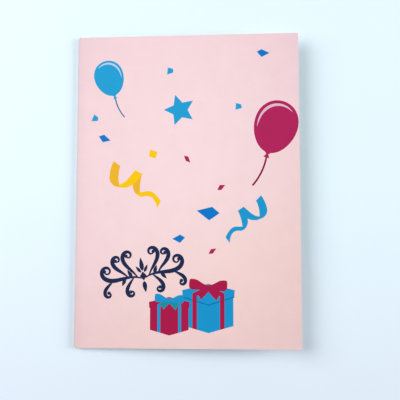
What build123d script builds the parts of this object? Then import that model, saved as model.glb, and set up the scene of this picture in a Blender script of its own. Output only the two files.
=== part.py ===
from build123d import *
import os
from math import cos, pi, radians, sin, tan

# Pop up card, closed and lying on its back leaf, in millimetres and degrees.
# X runs from the fold to the free edge, Y along the fold, Z up.

# Cover: a stiff sheet folded once, which springs a little open
card_width = 127.0
card_height = 177.8
card_thickness = 0.35
fold_inner_radius = 0.6
opening_angle = 3.8

# Pop up box: thin paper, folded nearly flat between the leaves
paper_thickness = 0.25
box_offset = 22.0
box_height = 34.0
box_width = 80.0
tab_depth = 10.0
tab_straight = 3.0
tab_inset = 4.0

# Balloons: flat cut-outs on stems, glued to the inside of the box
balloon_width = 24.0
balloon_crown = 13.0
balloon_taper = 15.0
balloon_margin = 26.0
knot_width = 4.5
knot_height = 3.0
knot_clearance = 1.0
stem_width = 2.5
glue_length = 15.0

# Cover worked out: the fold is an arc about the fold axis, and one leaf is as long as the other
fold_outer_radius = fold_inner_radius + card_thickness
fold_x = fold_outer_radius - card_width / 2
leaf_length = card_width - fold_outer_radius
fold_turn = 180 - opening_angle

# Planes through the fold axis: one midway between the leaves, and one across the fold to draw sections on
half_angle = radians(opening_angle / 2)
fold_axis = Vector(fold_x, 0, fold_outer_radius)
outward = Vector(cos(half_angle), 0, sin(half_angle))
across = Vector(-sin(half_angle), 0, cos(half_angle))
middle_plane = Plane(origin=fold_axis, x_dir=outward, z_dir=across)
end_plane = Plane(origin=fold_axis, x_dir=outward, z_dir=(0, -1, 0))

# Box worked out: its walls hinge on the leaves and stay parallel to the middle plane, as they do at any opening.
# Each side is as wide as the hinge lines are apart when the card lies open, and folds in half between the walls.
hinge_out = box_offset * cos(half_angle) - fold_inner_radius * sin(half_angle)
hinge_across = fold_inner_radius * cos(half_angle) + box_offset * sin(half_angle)
box_start = hinge_out + paper_thickness
box_end = hinge_out + box_height
wall_line = hinge_across - paper_thickness / 2
pleat_radius = wall_line / 3
pleat_reach = box_offset - pi * pleat_radius
fold_line = box_width / 2 - paper_thickness / 2 - pleat_radius
crease_line = fold_line - pleat_reach
section_plane = Plane(origin=fold_axis + outward * box_start, x_dir=(0, 1, 0), z_dir=outward)

os.makedirs("parts", exist_ok=True)

# Folded card: the section of the sheet, with the fold as two arcs and the leaves as straight runs
with BuildPart() as folded_card:
    with BuildSketch(Plane.XZ) as sheet_section:
        with BuildLine() as sheet_outline:
            fold_centre = (fold_x, fold_outer_radius)
            outer_bend = CenterArc(fold_centre, fold_outer_radius, 270, -fold_turn)
            inner_bend = CenterArc(fold_centre, fold_inner_radius, 270, -fold_turn)
            front_outside = PolarLine(outer_bend @ 1, leaf_length, opening_angle)
            front_inside = PolarLine(inner_bend @ 1, leaf_length, opening_angle)
            back_outside = PolarLine(outer_bend @ 0, leaf_length, 0)
            back_inside = PolarLine(inner_bend @ 0, leaf_length, 0)
            Line(front_outside @ 1, front_inside @ 1)
            Line(back_outside @ 1, back_inside @ 1)
        make_face()
    extrude(amount=card_height / 2, both=True)
folded_card.part.label = "folded_card"
export_step(folded_card.part, "parts/folded_card.step")

# Glue tab: it lies on the leaf between the fold and the hinge line, where it turns into the wall
mitre_out = hinge_out + paper_thickness * tan(half_angle / 2)
tab_end_out = hinge_out - tab_depth * cos(half_angle)
tab_end_across = tab_depth * sin(half_angle) - hinge_across
with BuildPart() as glue_tab:
    with BuildSketch(end_plane) as tab_section:
        with BuildLine() as tab_outline:
            Polyline(
                (hinge_out, -hinge_across),
                (tab_end_out, tab_end_across),
                (
                    tab_end_out + paper_thickness * sin(half_angle),
                    tab_end_across + paper_thickness * cos(half_angle),
                ),
                (mitre_out, paper_thickness - hinge_across),
                (box_start + paper_thickness, paper_thickness - hinge_across),
                (box_start + paper_thickness, -hinge_across),
                close=True,
            )
        make_face()
    extrude(amount=box_width / 2 - tab_inset, both=True)
    tab_end = glue_tab.faces().sort_by(Axis(fold_axis, outward))[0]
    chamfer(tab_end.edges().sort_by(SortBy.LENGTH)[0:2], length=tab_depth - tab_straight)

# Pop up box: two walls joined by sides that are pleated inward, with a tab on each leaf
with BuildPart() as pop_up_box:
    with BuildSketch(section_plane) as box_section:
        with BuildLine() as folded_line:
            Line((0, -wall_line), (fold_line, -wall_line))
            lower_fold = CenterArc((fold_line, pleat_radius - wall_line), pleat_radius, 270, 180)
            Line(lower_fold @ 1, (crease_line, -pleat_radius))
            crease = CenterArc((crease_line, 0), pleat_radius, 270, -180)
            Line(crease @ 1, (fold_line, pleat_radius))
            upper_fold = CenterArc((fold_line, wall_line - pleat_radius), pleat_radius, 270, 180)
            Line(upper_fold @ 1, (0, wall_line))
            mirror(about=Plane.YZ)
        make_face()
        offset(amount=paper_thickness / 2)
        offset(amount=-paper_thickness, mode=Mode.SUBTRACT)
    extrude(amount=box_end - box_start)
    add(glue_tab.part)
    mirror(glue_tab.part, about=middle_plane)
pop_up_box.part.label = "pop_up_box"
export_step(pop_up_box.part, "parts/pop_up_box.step")

# Balloons: the necks rise in even steps, from just above the box to the highest that stays inside the card
wall_face = hinge_across - paper_thickness
pleat_face = pleat_radius + paper_thickness / 2
pleat_middle = (fold_line + crease_line) / 2
lowest_neck = box_end + knot_height + knot_clearance
highest_neck = leaf_length - balloon_margin - balloon_crown - balloon_taper

# Each has its place along the fold, the face it is glued to and the side of that face it stands on
balloons = (
    ("balloon_right", pleat_middle, pleat_face, 1),
    ("balloon_left", -pleat_middle, -pleat_face, -1),
    ("balloon_front", 0, wall_face, -1),
    ("balloon_back", 0, -wall_face, 1),
)
neck_step = (highest_neck - lowest_neck) / (len(balloons) - 1)
stem_start = box_end - glue_length
for steps, (name, along_fold, glued_face, side) in enumerate(balloons):
    neck = lowest_neck + steps * neck_step
    belly = (neck + balloon_taper, along_fold)
    with BuildPart() as balloon:
        with BuildSketch(middle_plane.offset(glued_face)) as cut_out:
            with BuildLine() as oval:
                EllipticalCenterArc(belly, balloon_crown, balloon_width / 2, -90, arc_size=180)
                EllipticalCenterArc(belly, balloon_taper, balloon_width / 2, 90, arc_size=180)
            make_face()
            with BuildLine() as knot:
                Polyline(
                    (neck + knot_height, along_fold),
                    (neck - knot_height, along_fold - knot_width / 2),
                    (neck - knot_height, along_fold + knot_width / 2),
                    close=True,
                )
            make_face()
            with Locations((stem_start, along_fold)):
                Rectangle(neck - stem_start, stem_width, align=(Align.MIN, Align.CENTER))
        extrude(amount=side * paper_thickness)
    balloon.part.label = name
    export_step(balloon.part, f"parts/{name}.step")
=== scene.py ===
# %% [markdown]
# The object is a pop up card, closed and lying on its back leaf. It is one sheet of coated card, folded
# once and printed on the outside, with a paper box and four paper balloons folded flat between its
# leaves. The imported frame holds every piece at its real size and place, so nothing here is moved or
# resized. This lesson prints the sheet, makes the papers and the inks, and sets up the table, the light
# and the camera.

# %% Load the frame
from math import atan2, cos, degrees, pi, radians, sin

import bmesh
import bpy
from mathutils import Matrix, Vector
from mathutils.geometry import delaunay_2d_cdt, interpolate_bezier


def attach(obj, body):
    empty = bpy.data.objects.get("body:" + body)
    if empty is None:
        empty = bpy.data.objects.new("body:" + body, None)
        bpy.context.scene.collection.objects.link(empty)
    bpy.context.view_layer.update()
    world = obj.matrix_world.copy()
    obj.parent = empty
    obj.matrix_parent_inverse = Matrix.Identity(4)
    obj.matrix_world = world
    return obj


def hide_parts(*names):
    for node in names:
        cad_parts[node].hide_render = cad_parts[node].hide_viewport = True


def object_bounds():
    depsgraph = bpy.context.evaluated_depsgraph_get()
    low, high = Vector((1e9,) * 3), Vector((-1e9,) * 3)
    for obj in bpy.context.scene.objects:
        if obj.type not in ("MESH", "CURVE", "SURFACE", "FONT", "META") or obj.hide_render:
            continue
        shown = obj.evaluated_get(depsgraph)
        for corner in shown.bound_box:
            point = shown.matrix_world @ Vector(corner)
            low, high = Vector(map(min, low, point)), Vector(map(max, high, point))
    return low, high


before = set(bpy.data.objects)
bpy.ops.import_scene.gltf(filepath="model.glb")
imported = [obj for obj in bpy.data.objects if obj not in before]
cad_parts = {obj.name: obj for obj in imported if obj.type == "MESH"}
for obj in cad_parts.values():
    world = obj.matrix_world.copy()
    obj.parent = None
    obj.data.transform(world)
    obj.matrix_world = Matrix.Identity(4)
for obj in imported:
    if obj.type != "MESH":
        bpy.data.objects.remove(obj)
cad_low, cad_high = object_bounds()
mm = 0.001
print("CAD box in mm:", [round(side / mm, 2) for side in cad_high - cad_low])

# %% [markdown]
# The card is seen from above, by a camera held by hand, so the picture leans a little and its edges
# converge. A camera can be nudged until the picture looks right, or worked out from what is known of the
# object. Here the lens, the place and the tilt are the ones that put the card's corners and edges on
# their pixels.

# %% Camera
picture_width_px, focal_length_px = 400, 660.2
camera_place_mm, camera_tilt = (8.3, -38.43, 376.53), (4.96, 0.154, -0.032)
camera_data = bpy.data.cameras.new("camera")
camera_data.sensor_width = 36
camera_data.lens = camera_data.sensor_width * focal_length_px / picture_width_px
camera = bpy.data.objects.new("camera", camera_data)
camera.location = Vector(camera_place_mm) * mm
camera.rotation_euler = [radians(angle) for angle in camera_tilt]
bpy.context.collection.objects.link(camera)
bpy.context.scene.camera = camera
print("lens in mm:", round(camera_data.lens, 2))

# %% [markdown]
# The print is ink on the front leaf, far too thin to model as a solid. It could be an image, but then it
# would blur close up. Here each motif is an outline in the sheet's own face, and each ink is a material,
# so every edge is sharp. The outlines are in millimetres, across from the fold and up from the bottom
# edge. Their round stretches are curves with handles, through a few points: each handle lies along the
# curve's way there, and is a third as long as the distance to the next point.

# %% Curves, pen lines and placing
prints = []
swell_power = 1.5


def smooth(*knots, steps=10):
    """A curve through the knots, which starts and ends as evenly bent as an arc."""
    knots = [Vector(knot) for knot in knots]
    chords = [end - start for start, end in zip(knots, knots[1:])]
    ways = [
        (before.normalized() * after.length + after.normalized() * before.length).normalized()
        for before, after in zip(chords, chords[1:])
    ]
    first, last = chords[0].normalized(), chords[-1].normalized()
    ways = [-ways[0].reflect(first), *ways, -ways[-1].reflect(last)] if ways else [first, last]
    curve = [knots[0]]
    for start, end, chord, leaving, arriving in zip(knots, knots[1:], chords, ways, ways[1:]):
        handle = chord.length / 3
        outward, inward = start + leaving * handle, end - arriving * handle
        curve += interpolate_bezier(start, outward, inward, end, steps + 1)[1:]
    return curve


def pen_line(line, hair, swell=0):
    """The outline of a pen stroke along a line: a hair wide at its ends, wider by swell in the middle."""
    last = len(line) - 1
    left, right = [], []
    for place, point in enumerate(line):
        way = (line[min(place + 1, last)] - line[max(place - 1, 0)]).normalized()
        reach = way.orthogonal() * (hair + swell * sin(pi * place / last) ** swell_power) / 2
        left.append(point + reach)
        right.append(point - reach)
    return left + right[::-1]


def lay(ink, points, at=(0, 0), turn=0, size=1, flip=False):
    """Adds an outline to the print: mirrored if flip is true, then sized, turned and set down."""
    spin = Matrix.Rotation(radians(turn), 2)
    side = -1 if flip else 1
    prints.append((ink, [Vector(at) + spin @ Vector((side * x, y)) * size for x, y in points]))


print("points on a curve through three knots:", len(smooth((0, 0), (1, 1), (2, 0))))

# %% [markdown]
# A party balloon is an egg: an ellipse that is fuller at the crown than at the neck. A scaled circle
# would look like a ball on a stick, so its width is multiplied by one term that grows towards the crown.
# The light on it is drawn as a crescent, which follows the edge a little way in. The neck, the knot and
# the string are measured in half widths of the egg, so that the second balloon is the mirror image of the
# first, and larger. The string has a darker ink of its own.

# %% Printed balloons
crown_fullness, egg_step = 0.113, 4
glint_start, glint_end, glint_steps = radians(-38), radians(102), 30
glint_inset, glint_depth, glint_fullness = 0.145, 0.125, 0.7
neck_side = [(0.17, 0.03), (0.05, -0.07), (0.145, -0.235)]
neck_line = [(-x, y) for x, y in neck_side] + neck_side[::-1]
string_line, string_width = [(0, -0.22), (0.01, -0.86), (0.24, -1.65)], 0.085


def printed_balloon(ink, glint_ink, string_ink, middle, half_width, half_height, lean):
    """A balloon whose crown leans to the left, or the mirror image where the lean is negative."""

    def egg(angle, inset=0):
        across = (half_width - inset * half_width) * sin(angle) * (1 + crown_fullness * cos(angle))
        return Vector((across, (half_height - inset * half_width) * cos(angle)))

    foot = Vector((0, -half_height))
    neck = [foot + Vector(point) * half_width for point in neck_line]
    string = smooth(*[foot + Vector(point) * half_width for point in string_line])
    shares = [step / glint_steps for step in range(glint_steps + 1)]
    angles = [glint_start + (glint_end - glint_start) * share for share in shares]
    insets = [glint_inset + glint_depth * sin(pi * share) ** glint_fullness for share in shares]
    outer = [egg(angle, glint_inset) for angle in angles]
    inner = [egg(angle, inset) for angle, inset in zip(angles, insets)]
    spot = {"at": middle, "turn": lean, "flip": lean < 0}
    lay(string_ink, pen_line(string, string_width * half_width), **spot)
    lay(ink, neck, **spot)
    lay(ink, [egg(radians(angle)) for angle in range(0, 360, egg_step)], **spot)
    lay(glint_ink, outer + inner[-2:0:-1], **spot)


printed_balloon("sky_blue", "pale_blue", "string_blue", (18.6, 153.42), 8.47, 10.53, 16.9)
printed_balloon("magenta", "pale_pink", "string_red", (113.61, 123.74), 12.25, 15.31, -16.9)
print("outlines so far:", len(prints))

# %% [markdown]
# The star is a ring of ten points, every second one halfway in. The confetti are scraps of paper, no two
# alike, so each has its own four corners.

# %% Star and confetti
star_middle, star_radius, star_notch, star_turn = Vector((59.45, 134.25)), 9.25, 0.485, 179
star = []
for corner in range(10):
    angle = radians(star_turn + 36 * corner)
    notch = star_notch if corner % 2 else 1
    star.append(star_middle + Vector((cos(angle), sin(angle))) * star_radius * notch)
lay("sky_blue", star)

confetti = (
    ("deep_blue", (103.5, 167.3), (106.1, 168.7), (110.7, 166.4), (106.1, 164.1)),
    ("sky_blue", (52.5, 159.1), (55.5, 158.3), (55.7, 156.1), (52.1, 155.0)),
    ("sky_blue", (91.5, 137.8), (94.4, 136.9), (94.8, 134.8), (91.2, 133.8)),
    ("sky_blue", (10.1, 132.4), (12.5, 130.5), (12.0, 128.5), (8.4, 128.5)),
    ("deep_blue", (12.9, 119.6), (15.9, 120.5), (19.7, 117.1), (15.2, 116.1)),
    ("yellow", (42.4, 111.6), (46.8, 110.2), (45.6, 106.4), (42.0, 107.6)),
    ("magenta", (61.8, 108.0), (64.4, 107.3), (65.5, 103.8), (62.9, 104.9)),
    ("magenta", (82.1, 91.0), (85.2, 91.0), (83.1, 88.2), (80.7, 88.1)),
    ("deep_blue", (69.1, 76.6), (77.8, 78.7), (82.0, 75.1), (76.1, 71.1)),
    ("deep_blue", (55.4, 60.8), (59.7, 63.2), (62.6, 61.5), (59.7, 58.5)),
    ("magenta", (77.1, 55.0), (80.1, 55.4), (78.1, 52.5), (75.7, 52.4)),
)
for ink, *corners in confetti:
    lay(ink, corners)
print("outlines so far:", len(prints))

# %% [markdown]
# A paper streamer curls like a spring, so it shows its front and its back in turn. Drawn flat, it is four
# areas: two of the back, with the front laid over them. They are measured from the streamer's own upper
# corner, and the second streamer is the same drawing, mirrored, smaller and turned.

# %% Streamers
def streamer(front, back, at, turn=0, size=1, flip=False):
    """A curled strip that hangs from its upper corner, with its back in the first and third stretch."""
    first_back = smooth((0, 0), (-2.2, -7.1), (-2.3, -10.4), (-1.2, -12.8), (2.6, -14.85))
    first_back += smooth((3.3, -13.4), (2.8, -9.3), (3.8, -2.9))
    second_back = smooth((16.4, -7.4), (15.3, -13.3), (15.2, -18.0))
    second_back += smooth((12.9, -18.8), (11.6, -16.8), (11.1, -13.4))
    first_front = smooth((2.6, -14.85), (6.0, -15.35), (8.4, -14.9), (11.2, -13.4), (16.4, -7.4))
    first_front += smooth((12.3, -5.4), (9.9, -8.4), (7.9, -10.7), (6.0, -12.3), (3.3, -13.4))
    second_front = smooth(
        (12.9, -18.8), (15.3, -20.4), (20.0, -20.2), (22.0, -21.0), (23.8, -23.3), (25.0, -27.3)
    )
    second_front += smooth(
        (27.1, -23.2), (24.0, -19.3), (21.8, -17.7), (19.8, -17.3), (17.6, -17.7), (15.2, -18.0)
    )
    for ink, area in ((back, first_back), (back, second_back), (front, first_front), (front, second_front)):
        lay(ink, area, at, turn, size, flip)


streamer("yellow", "amber", (21.66, 105.17))
streamer("sea_blue", "sea_blue", (105.2, 85.0), turn=9.2, size=0.863, flip=True)
print("outlines so far:", len(prints))

# %% [markdown]
# Each present is a box seen by its corner: a body, a lid that hangs over it, two ribbons and a bow. Flat
# areas laid one over the other make it, as in a cut-paper picture. The measures are the large present's,
# from the corner that it stands on. The small one is the same drawing in other inks, about three quarters
# as large. A bow is measured from its knot, and has a place and a size of its own.

# %% Presents
body_half, body_foot = 13.8, 3.95
lid_half, lid_foot, lid_dip, lid_top, lid_flare, far_corner = 14.4, 19.5, 15.0, 23.6, 0.2, 27.1
lid_line, ribbon_inner = 0.7, 6.4
left_tail = [(-4.6, 24.2), (-6.6, 21.3), (-5.2, 20.3), (-4.2, 18.2), (-1.7, 20.8), (0, 22.6), (0.2, 25.0)]
right_tail = [(0.2, 25.0), (0, 22.6), (2.3, 20.0), (4.5, 17.8), (5.6, 19.9), (6.8, 21.2), (5.0, 24.0)]


def present(paper, ribbon, tails, shade, at, size=1, ribbon_outer=8.95):
    """A wrapped box, its ribbons and their tails, with a line along the lid if a shade ink is given."""
    spot = {"at": at, "size": size}
    body = [(0, 0), (body_half, body_foot), (body_half, lid_top)]
    lay(paper, body + [(-x, y) for x, y in body[:0:-1]], **spot)
    lid_edge = [Vector((-lid_half, lid_foot)), Vector((0, lid_dip)), Vector((lid_half, lid_foot))]
    lid_side = lid_half + lid_flare
    lay(paper, lid_edge + [(lid_side, lid_top), (0, far_corner), (-lid_side, lid_top)], **spot)
    if shade:
        lay(shade, lid_edge + [point + Vector((0, lid_line)) for point in lid_edge[::-1]], **spot)
    rise = body_foot / body_half
    band = [(ribbon_outer, rise * ribbon_outer), (ribbon_inner, rise * ribbon_inner), (ribbon_inner, 20.4)]
    band += [(3.0, 22.2), (5.3, 23.5), (ribbon_outer, 21.7)]
    for flip in (True, False):
        lay(ribbon, band, flip=flip, **spot)
    for tail in (left_tail, right_tail):
        lay(tails, tail, **spot)


def bow(ribbon, knot, size=1):
    """Two loops, of which the right one droops, and the knot between them."""
    droop = -6
    loop = smooth((-0.8, 1.3), (-2.5, 2.1), (-4.4, 3.3), (-6.3, 4.4), (-8.2, 4.85), (-10.05, 4.75))
    loop += smooth((-10.05, 4.75), (-10.55, 2.0), (-10.3, -0.1), (-9.4, -0.95), (-8.0, -1.15))[1:]
    loop += [Vector((-5.5, -1.2)), Vector((-0.8, -0.7))]
    lay(ribbon, loop, knot, size=size)
    lay(ribbon, loop, knot, droop, size, True)
    lay(ribbon, [(-1.6, 1.6), (0, 1.35), (1.6, 1.6), (5.0, -1.7), (0, -0.8), (-5.0, -1.3)], knot, size=size)


present("wrap_blue", "crimson", "crimson", "shade_blue", (75.62, 8.7))
bow("crimson", (75.42, 33.7))
present("crimson", "wrap_blue", "teal", None, (53.8, 7.25), size=0.782, ribbon_outer=8.5)
bow("wrap_blue", (53.75, 26.5), size=0.77)
print("outlines so far:", len(prints))

# %% [markdown]
# The navy ornament is scrollwork, as on old title pages, drawn with a pen. Its stems curl up into
# volutes. A volute is a line whose bend grows along its way, so each stem is walked step by step, with
# its heading turned a little more each time. Side stems branch off the main one.

# %% Stems, dots and leaves
stem_steps, leaf_steps, leaf_fullness = 70, 24, 0.7
dot_radius, dot_step = 0.95, 15


def scroll(start, heading, length, first_bend, last_bend):
    """A line that sets out at a heading and bends more and more, in degrees for each millimetre."""
    step = length / stem_steps
    line = [Vector(start)]
    for place in range(stem_steps):
        heading += step * (first_bend + (last_bend - first_bend) * ((place + 0.5) / stem_steps) ** 2)
        line.append(line[-1] + Vector((cos(radians(heading)), sin(radians(heading)))) * step)
    return line


def branch(stem, share, veer, length, first_bend, last_bend):
    """A side stem, which leaves another one a share of the way along it and veers off its heading."""
    place = round(share * stem_steps)
    way = stem[place + 1] - stem[place]
    return scroll(stem[place], degrees(atan2(way.y, way.x)) + veer, length, first_bend, last_bend)


def dot(middle):
    """The round ball in which a pen stroke ends."""
    turns = [radians(angle) for angle in range(0, 360, dot_step)]
    return [middle + Vector((cos(turn), sin(turn))) * dot_radius for turn in turns]


def leaf(base, heading, length, width):
    """A pointed leaf, fullest near its base."""
    edge = [
        Vector((length * step / leaf_steps, width / 2 * sin(pi * (step / leaf_steps) ** leaf_fullness)))
        for step in range(leaf_steps + 1)
    ]
    whole = edge + [Vector((x, -y)) for x, y in edge[-2:0:-1]]
    return [Vector(base) + Matrix.Rotation(radians(heading), 2) @ point for point in whole]


main_stem = scroll((1.2, -1.0), 28, 36.0, -4.5, 44)
print("the main stem ends at", [round(part, 1) for part in main_stem[-1]])

# %% [markdown]
# The ornament is symmetrical. A lozenge and two leaves stand in its middle, and the rest is drawn once
# for each side. A pen line along each stem swells in the middle and ends in a ball.

# %% Scroll ornament
ornament_middle, ornament_rise, ornament_size = (39.1, 40.1), 10, 1.04
hair_width = 0.75
stems_and_swells = (
    (main_stem, 1.7),
    (branch(main_stem, 0.06, 46, 25.0, -3, 51), 1.5),
    (branch(main_stem, 0.20, 57, 21.5, -4, 58), 1.5),
    (branch(main_stem, 0.11, -60, 17.0, 2, -64), 1.4),
    (branch(main_stem, 0.43, -46, 15.0, 2, -66), 1.3),
)
strokes = [pen_line(stem, hair_width, swell) for stem, swell in stems_and_swells]
dots = [dot(stem[-1]) for stem, swell in stems_and_swells]
sprigs = ((0.15, 66), (0.24, -58))
leaves = [leaf(main_stem[round(share * stem_steps)], heading, 4.8, 2.0) for share, heading in sprigs]
leaves.append(leaf((0.9, 2.0), 58, 4.6, 1.6))
lozenge = [(0, 2.5), (1.9, 0), (0, -2.5), (-1.9, 0)]
for shape in (leaf((0, 2.8), 90, 7.4, 2.4), leaf((0, -2.8), -90, 6.2, 2.4), lozenge):
    lay("navy", shape, ornament_middle, ornament_rise, ornament_size)
for shape in (*strokes, *dots, *leaves):
    for flip in (False, True):
        lay("navy", shape, ornament_middle, ornament_rise, ornament_size, flip)
print("outlines in all:", len(prints))

# %% [markdown]
# The sheet is one piece of card, pink outside, white inside and white where it was cut. The CAD solid has
# its true form, but one face for the whole front. So a copy of its mesh is made, and its faces are told
# apart by the way they look: out of the card, into the fold, or out of a cut edge.

# %% Copy the folded sheet
same_place, square_on = 0.001 * mm, 0.9
sheet = bmesh.new()
sheet.from_mesh(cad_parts["folded_card"].data)
bmesh.ops.remove_doubles(sheet, verts=sheet.verts, dist=same_place)
finish_names = ["flood_pink", "card_inside", "card_core", *sorted({ink for ink, points in prints})]
finish_index = {name: index for index, name in enumerate(finish_names)}
between_leaves = Vector((0, 0, 3 * mm))


def finish_of(face):
    """Which finish a face of the plain sheet has."""
    middle = face.calc_center_median()
    if abs(face.normal.y) > square_on or (face.normal.x > square_on and middle.x > 0):
        return "card_core"
    return "flood_pink" if face.normal.dot(middle - between_leaves) > 0 else "card_inside"


for face in sheet.faces:
    face.material_index = finish_index[finish_of(face)]
outside = [face for face in sheet.faces if face.material_index == finish_index["flood_pink"]]
largest = max(face.calc_area() for face in outside)
front = [face for face in outside if face.normal.z > 0 and face.calc_area() > largest / 2]
print("faces:", len(sheet.faces), "of which on the front leaf:", len(front))

# %% [markdown]
# The front face is then cut along the outlines. A boolean or a knife would do it too, one shape at a
# time. A triangulation that keeps to given edges takes all the outlines at once and says for each
# triangle which of them it lies in. The last of these was printed on top, so its ink is the triangle's
# material.

# %% Cut the print into the front leaf
corners = {vertex.co.copy().freeze() for face in front for vertex in face.verts}
fold_foot = min(corners, key=lambda corner: corner.x + corner.y)
free_foot = max(corners, key=lambda corner: corner.x - corner.y)
fold_head = min(corners, key=lambda corner: corner.x - corner.y)
leaf_width, leaf_height = (free_foot - fold_foot).length / mm, (fold_head - fold_foot).length / mm
across, up = (free_foot - fold_foot).normalized(), (fold_head - fold_foot).normalized()
bend = (fold_foot.x - cad_low.x) / mm
whole_leaf = [(bend, 0), (bend + leaf_width, 0), (bend + leaf_width, leaf_height), (bend, leaf_height)]


def anticlockwise(points):
    """The points in the order that has the area on their left."""
    first = points[0]
    area = sum((a - first).cross(b - first) for a, b in zip(points, points[1:]))
    return points if area > 0 else points[::-1]


areas = [("flood_pink", [Vector(corner) for corner in whole_leaf]), *prints]
points, rings = [], []
for ink, ring in areas:
    rings.append(range(len(points), len(points) + len(ring)))
    points += anticlockwise(ring)
weld_mm, every_triangle = 0.002, 0
cut = delaunay_2d_cdt(points, [], rings, every_triangle, weld_mm)
places, triangles, areas_of = cut[0], cut[2], cut[5]
bmesh.ops.delete(sheet, geom=front, context="FACES")
vertices = [sheet.verts.new(fold_foot + ((x - bend) * across + y * up) * mm) for x, y in places]
for triangle, owners in zip(triangles, areas_of):
    face = sheet.faces.new([vertices[corner] for corner in triangle])
    face.material_index = finish_index[areas[max(owners)][0]]
bmesh.ops.remove_doubles(sheet, verts=sheet.verts, dist=same_place)
print("triangles on the front leaf:", len(triangles))
print("open edges:", sum(not edge.is_manifold for edge in sheet.edges))

# %% [markdown]
# The two corners at the fold are the first to be rubbed, and on this card they are worn a little round. A
# bevel would need an edge loop to work on. Here the sheet is sliced a few times beside the fold, and the
# ends of the slices are drawn in, more and more towards the fold.

# %% Worn corners at the fold
wear_reach, wear_depth, slices = 4.0 * mm, 1.0 * mm, 8
sheet_end = cad_high.y - 0.01 * mm
for step in range(1, slices + 1):
    everything = [*sheet.verts, *sheet.edges, *sheet.faces]
    slice_at = (cad_low.x + wear_reach * step / slices, 0, 0)
    bmesh.ops.bisect_plane(sheet, geom=everything, plane_co=slice_at, plane_no=(1, 0, 0))
for vertex in sheet.verts:
    nearness = 1 - (vertex.co.x - cad_low.x) / wear_reach
    if nearness > 0 and abs(vertex.co.y) > sheet_end:
        vertex.co.y *= 1 - wear_depth * nearness ** 2 / cad_high.y
print("open edges after wear:", sum(not edge.is_manifold for edge in sheet.edges))

# %% [markdown]
# Only the fold is round, so only its faces are shaded smooth. The leaves stay flat, and the cut edges
# stay sharp. The new mesh stands for the CAD sheet and rides on the one body that the card has.

# %% The printed card
for face in sheet.faces:
    round_fold = face.calc_center_median().x < fold_foot.x
    face.smooth = round_fold and face.material_index != finish_index["card_core"]
card_mesh = bpy.data.meshes.new("printed_card")
sheet.to_mesh(card_mesh)
sheet.free()
printed_card = bpy.data.objects.new("printed_card", card_mesh)
bpy.context.collection.objects.link(printed_card)
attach(printed_card, "root")
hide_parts("folded_card")
print("printed card faces:", len(card_mesh.polygons))

# %% [markdown]
# Every material is a node tree round a Principled shader. Colours are written as sRGB hex values, as they
# look on a screen, and a renderer counts in linear light, so one function turns them over. One more
# function adds a node with its settings and links, and that is all the machinery that the materials need.
# A Mix node has sockets of the same names for numbers, vectors and colours, so its colour sockets are
# called by their places.

# %% Node helpers
mix_a, mix_b, mixed = 6, 7, 2


def linear(hex_colour):
    """An sRGB hex colour as linear red, green, blue and alpha."""
    shares = [int(hex_colour[place:place + 2], 16) / 255 for place in (1, 3, 5)]
    parts = [share / 12.92 if share <= 0.04045 else ((share + 0.055) / 1.055) ** 2.4 for share in shares]
    return parts + [1]


def add(tree, kind, inputs=(), **settings):
    """Adds a node with its settings, and fills its inputs with values or with other nodes' outputs."""
    node = tree.nodes.new(kind)
    for name, value in settings.items():
        setattr(node, name, value)
    for name, value in dict(inputs).items():
        if isinstance(value, bpy.types.NodeSocket):
            tree.links.new(value, node.inputs[name])
        else:
            node.inputs[name].default_value = value
    return node


def new_material(name):
    """An empty material, with its node tree and its shader."""
    material = bpy.data.materials.new(name)
    material.use_nodes = True
    return material, material.node_tree, material.node_tree.nodes["Principled BSDF"]


print("middle grey in linear light:", round(linear("#808080")[0], 3))

# %% [markdown]
# The cover is coated card, offset printed: clay fills the paper's pores, so the ink lies on an even,
# silky skin. What the eye gets is a flat colour with a faint cloudiness, where the sheet took the ink
# unevenly, and a tooth of fibres that breaks up the little gloss there is. The real tooth is about 0.1
# mm, less than a pixel of the picture, so it is drawn at 0.7 mm. Every ink has the same skin, and only
# its colour differs.

# %% Coated card and its inks
cloud_mm, cloud_low, cloud_high, cloud_tone = 9.0, 0.32, 0.68, (0.965, 0.965, 0.965, 1)
tooth_mm, tooth_depth_mm, tooth_strength = 0.7, 0.01, 0.25
silkiest, dullest = 0.5, 0.68
paper_ior, coated_shine = 1.5, 0.1
ink_colours = {
    "flood_pink": "#FBDBDC",
    "sky_blue": "#1F9ED1",
    "sea_blue": "#1798CC",
    "wrap_blue": "#1395CB",
    "shade_blue": "#0A72B0",
    "deep_blue": "#0077C6",
    "navy": "#17274D",
    "teal": "#148EA0",
    "string_blue": "#14699A",
    "string_red": "#8E0F40",
    "magenta": "#B22159",
    "crimson": "#AC1346",
    "yellow": "#FCC804",
    "amber": "#F0B426",
    "pale_blue": "#C4CFE8",
    "pale_pink": "#E4BBCB",
}


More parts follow.
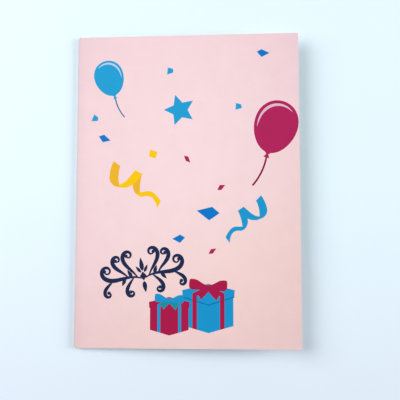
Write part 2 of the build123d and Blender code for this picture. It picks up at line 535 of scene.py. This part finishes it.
def coated_card(ink, hex_colour):
    """Coated card under one printed ink."""
    material, tree, shader = new_material("coated_card_" + ink)
    place = add(tree, "ShaderNodeTexCoord").outputs["Object"]
    cloud_noise = {"Vector": place, "Scale": 1 / (cloud_mm * mm), "Detail": 5.0, "Roughness": 0.65}
    cloud = add(tree, "ShaderNodeTexNoise", cloud_noise).outputs["Fac"]
    cloud_range = {"Value": cloud, "From Min": cloud_low, "From Max": cloud_high}
    cloudiness = add(tree, "ShaderNodeMapRange", cloud_range).outputs["Result"]
    cover = {0: cloudiness, mix_a: linear(hex_colour), mix_b: cloud_tone}
    coverage = add(tree, "ShaderNodeMix", cover, name="coverage", data_type="RGBA", blend_type="MULTIPLY")
    tooth_noise = {"Vector": place, "Scale": 1 / (tooth_mm * mm), "Detail": 3.0, "Roughness": 0.6}
    tooth = add(tree, "ShaderNodeTexNoise", tooth_noise).outputs["Fac"]
    gloss = add(tree, "ShaderNodeMapRange", {"Value": tooth, "To Min": silkiest, "To Max": dullest})
    bumps = {"Height": tooth, "Strength": tooth_strength, "Distance": tooth_depth_mm * mm}
    relief = add(tree, "ShaderNodeBump", bumps)
    tree.links.new(coverage.outputs[mixed], shader.inputs["Base Color"])
    tree.links.new(gloss.outputs["Result"], shader.inputs["Roughness"])
    tree.links.new(relief.outputs["Normal"], shader.inputs["Normal"])
    shader.inputs["IOR"].default_value = paper_ior
    shader.inputs["Specular IOR Level"].default_value = coated_shine
    return material


finishes = {ink: coated_card(ink, hex_colour) for ink, hex_colour in ink_colours.items()}
print("printed inks:", len(finishes))

# %% [markdown]
# The pink flood covers the whole outside. Four marks of light and shade are painted over it: painted
# shade darkens it towards the edges of the sheet, painted warm light warms it towards the free corner at
# the foot, painted shade darkens it along the spine of the fold, and the crest of the fold is painted grey
# as shade. All four are worked out from the place on the card, so they stay where they are from any side.
# The colour that comes of them goes in where the plain one was.

# %% Flood over the sheet and the fold
foot_pink = "#FBD9D3"
warm_way, warm_start_mm, warm_end_mm = (sin(radians(30)), -cos(radians(30)), 0), -5.0, 61.0
edge_shade_tone, palest_place = (0.895, 0.85, 0.881, 1), (0, 11 * mm, 0)
fold_shade_tone, crease_mm, crease_power = (0.91, 0.94, 0.935, 1), 8.0, 2.0
crest_shade_tone, crest_shade_mm = (0.84, 0.97, 1, 1), 1.6
tree = finishes["flood_pink"].node_tree
place = add(tree, "ShaderNodeTexCoord").outputs["Object"]
from_fold = add(tree, "ShaderNodeSeparateXYZ", {"Vector": place}).outputs["X"]

# Painted warm light: the pink turns warmer towards the free corner at the foot.
along = add(tree, "ShaderNodeVectorMath", {0: place, 1: warm_way}, operation="DOT_PRODUCT").outputs["Value"]
warm_range = {"Value": along, "From Min": warm_start_mm * mm, "From Max": warm_end_mm * mm}
warmth = add(tree, "ShaderNodeMapRange", warm_range).outputs["Result"]
pinks = {0: warmth, mix_a: linear(ink_colours["flood_pink"]), mix_b: linear(foot_pink)}
warm_lit_pink = add(tree, "ShaderNodeMix", pinks, data_type="RGBA").outputs[mixed]

# The distance from the palest place is scaled so that its square is about 1 at the corners of the sheet
half_sheet = (cad_high - cad_low) / 2
corner_scale = (1 / (2 ** 0.5 * half_sheet.x), 1 / (2 ** 0.5 * half_sheet.y), 0)
off = add(tree, "ShaderNodeVectorMath", {0: place, 1: palest_place}, operation="SUBTRACT").outputs["Vector"]
out = add(tree, "ShaderNodeVectorMath", {0: off, 1: corner_scale}, operation="MULTIPLY").outputs["Vector"]
far_out = add(tree, "ShaderNodeVectorMath", {0: out, 1: out}, operation="DOT_PRODUCT").outputs["Value"]
# Painted shade: the flood is darker towards the edges of the sheet, and lightest at its palest place.
edge_shade_mix = {0: far_out, mix_a: warm_lit_pink, mix_b: edge_shade_tone}
edge_shaded = add(tree, "ShaderNodeMix", edge_shade_mix, data_type="RGBA", blend_type="MULTIPLY").outputs[mixed]

# Painted shade along the spine: the flood darkens near the fold, most at the fold itself.
crease_range = {"Value": from_fold, "From Min": cad_low.x + crease_mm * mm, "From Max": cad_low.x}
nearness = add(tree, "ShaderNodeMapRange", crease_range).outputs["Result"]
fold_shade_share = add(tree, "ShaderNodeMath", {0: nearness, 1: crease_power}, operation="POWER").outputs["Value"]
fold_shade_mix = {0: fold_shade_share, mix_a: edge_shaded, mix_b: fold_shade_tone}
fold_shaded = add(tree, "ShaderNodeMix", fold_shade_mix, data_type="RGBA", blend_type="MULTIPLY").outputs[mixed]

# Painted shade on the crest of the fold, which turns grey there.
crest_shade_range = {"Value": from_fold, "From Min": cad_low.x + crest_shade_mm * mm, "From Max": cad_low.x}
crest_shade_share = add(tree, "ShaderNodeMapRange", crest_shade_range).outputs["Result"]
crest_shade_mix = {0: crest_shade_share, mix_a: fold_shaded, mix_b: crest_shade_tone}
flood = add(tree, "ShaderNodeMix", crest_shade_mix, data_type="RGBA", blend_type="MULTIPLY").outputs[mixed]
tree.links.new(flood, tree.nodes["coverage"].inputs[mix_a])
print("flood nodes:", len(tree.nodes))

# %% [markdown]
# Inside, the card is bare of ink, and at its cut edges the pulp shows. The pop up is cut from dyed paper,
# coloured right through. All of these are open, fibrous paper: no gloss, soft light and dark between the
# fibres, and a felted relief. The fibres lie mostly one way, along the machine that made the sheet, so
# the noise is stretched that way. A real fibre is far too fine to show, so they are drawn 0.8 mm wide.

# %% Open papers
fibre_mm, fibre_stretch = 0.8, 5.0
felt_mm, felt_depth_mm, felt_strength = 4.0, 0.03, 0.4
darkest_felt, palest_felt = 0.1, 0.4
smoothest, roughest = 0.8, 0.95
open_shine = 0.2


def open_paper(name, hex_colour, contrast):
    """Uncoated paper, dyed through or left white."""
    material, tree, shader = new_material(name)
    place = add(tree, "ShaderNodeTexCoord").outputs["Object"]
    machine_way = {"Vector": place, "Scale": (1, 1 / fibre_stretch, 1)}
    along = add(tree, "ShaderNodeMapping", machine_way).outputs["Vector"]
    fibre_noise = {"Vector": along, "Scale": 1 / (fibre_mm * mm), "Detail": 4.0}
    fibres = add(tree, "ShaderNodeTexNoise", fibre_noise).outputs["Fac"]
    felt_noise = {"Vector": place, "Scale": 1 / (felt_mm * mm), "Detail": 6.0, "Roughness": 0.7}
    felt = add(tree, "ShaderNodeTexNoise", felt_noise).outputs["Fac"]
    both = add(tree, "ShaderNodeMath", {0: fibres, 1: felt}, operation="MULTIPLY").outputs["Value"]
    full = linear(hex_colour)
    dark = [(1 - contrast) * part for part in full[:3]] + [1]
    felt_range = {"Value": both, "From Min": darkest_felt, "From Max": palest_felt}
    spread = add(tree, "ShaderNodeMapRange", felt_range).outputs["Result"]
    tone = add(tree, "ShaderNodeMix", {0: spread, mix_a: dark, mix_b: full}, data_type="RGBA")
    bumps = {"Height": both, "Strength": felt_strength, "Distance": felt_depth_mm * mm}
    relief = add(tree, "ShaderNodeBump", bumps)
    dull = add(tree, "ShaderNodeMapRange", {"Value": felt, "To Min": smoothest, "To Max": roughest})
    tree.links.new(tone.outputs[mixed], shader.inputs["Base Color"])
    tree.links.new(dull.outputs["Result"], shader.inputs["Roughness"])
    tree.links.new(relief.outputs["Normal"], shader.inputs["Normal"])
    shader.inputs["IOR"].default_value = paper_ior
    shader.inputs["Specular IOR Level"].default_value = open_shine
    return material


finishes["card_inside"] = open_paper("uncoated_card_inside", "#F3F0EC", 0.06)
finishes["card_core"] = open_paper("card_pulp_core", "#EFEBE6", 0.1)
for name in finish_names:
    card_mesh.materials.append(finishes[name])
blue_paper = open_paper("dyed_paper_blue", "#26A3D8", 0.16)
pop_up_papers = {
    "pop_up_box": open_paper("dyed_paper_crimson", "#AB1C4A", 0.16),
    "balloon_back": open_paper("dyed_paper_magenta", "#B0275E", 0.16),
    "balloon_left": open_paper("dyed_paper_yellow", "#FCCE0B", 0.1),
    "balloon_front": blue_paper,
    "balloon_right": blue_paper,
}
for node, paper in pop_up_papers.items():
    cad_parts[node].data.materials.clear()
    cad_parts[node].data.materials.append(paper)
print("materials in all:", len(bpy.data.materials))

# %% [markdown]
# The card lies on a pale, cool table top that fills the picture: white laminate, smooth and with little
# gloss. A large plane just under the card's lowest point is enough. It is painted a touch paler on its far
# side, as painted light, and it is a little cloudy, so that it isn't one flat tone.

# %% Table
table_half, table_drop = 3.0, 0.02 * mm
near_tone, far_tone, far_share = "#E4EDF7", "#E9F8FE", 0.8
near_line, far_line = cad_low.y - 25 * mm, 0.0
haze_mm, haze_share = 60.0, 0.25
laminate_roughness, laminate_shine = 0.6, 0.15
table_mesh = bpy.data.meshes.new("table")
sides = [(-1, -1), (1, -1), (1, 1), (-1, 1)]
table_corners = [(x * table_half, y * table_half, cad_low.z - table_drop) for x, y in sides]
table_mesh.from_pydata(table_corners, [], [range(4)])
table = bpy.data.objects.new("table", table_mesh)
bpy.context.collection.objects.link(table)

material, tree, shader = new_material("white_laminate")
place = add(tree, "ShaderNodeTexCoord").outputs["Object"]
away = add(tree, "ShaderNodeSeparateXYZ", {"Vector": place}).outputs["Y"]
# Painted light: the table is paler towards its far side.
far_range = {"Value": away, "From Min": near_line, "From Max": far_line, "To Max": far_share}
painted_far_light = add(tree, "ShaderNodeMapRange", far_range).outputs["Result"]
haze_noise = {"Vector": place, "Scale": 1 / (haze_mm * mm), "Detail": 2.0}
haze = add(tree, "ShaderNodeTexNoise", haze_noise).outputs["Fac"]
haze_and_painted_light = add(tree, "ShaderNodeMath", {0: haze, 1: haze_share, 2: painted_far_light}, operation="MULTIPLY_ADD")
tones = {0: haze_and_painted_light.outputs["Value"], mix_a: linear(near_tone), mix_b: linear(far_tone)}
tone = add(tree, "ShaderNodeMix", tones, data_type="RGBA")
tree.links.new(tone.outputs[mixed], shader.inputs["Base Color"])
shader.inputs["Roughness"].default_value = laminate_roughness
shader.inputs["Specular IOR Level"].default_value = laminate_shine
table_mesh.materials.append(material)
print("table is", 2 * table_half, "m wide")

# %% [markdown]
# Daylight comes in from two sides: a large window high up on the left, and a smaller one low down on the
# right. So there is a soft shadow under the card's raised edge, and a faint one along the fold. An area
# light is a window that can be as near and as wide as it looks from the table. The room's walls fill in
# the rest with a cool, even light, as the world's colour. Together they light a level surface to about 1,
# so that colours come out as they are written.

# %% Light
windows = {
    "left_window": {"place": (-0.72, 0.26, 0.71), "width": 0.9, "watts": 8.4},
    "right_window": {"place": (1.30, 0.10, 0.50), "width": 0.7, "watts": 14.2},
}
room_colour, room_strength = (1, 1.10, 1.19, 1), 0.31
for name, values in windows.items():
    window_data = bpy.data.lights.new(name, "AREA")
    window_data.shape = "DISK"
    window_data.size = values["width"]
    window_data.energy = values["watts"]
    window = bpy.data.objects.new(name, window_data)
    window.location = values["place"]
    window.rotation_euler = (-window.location).to_track_quat("-Z", "Y").to_euler()
    bpy.context.collection.objects.link(window)
world = bpy.data.worlds.new("room")
bpy.context.scene.world = world
world.use_nodes = True
world.node_tree.nodes["Background"].inputs["Color"].default_value = room_colour
world.node_tree.nodes["Background"].inputs["Strength"].default_value = room_strength
bpy.context.scene.view_settings.view_transform = "Standard"
print("lights:", *windows, world.name)
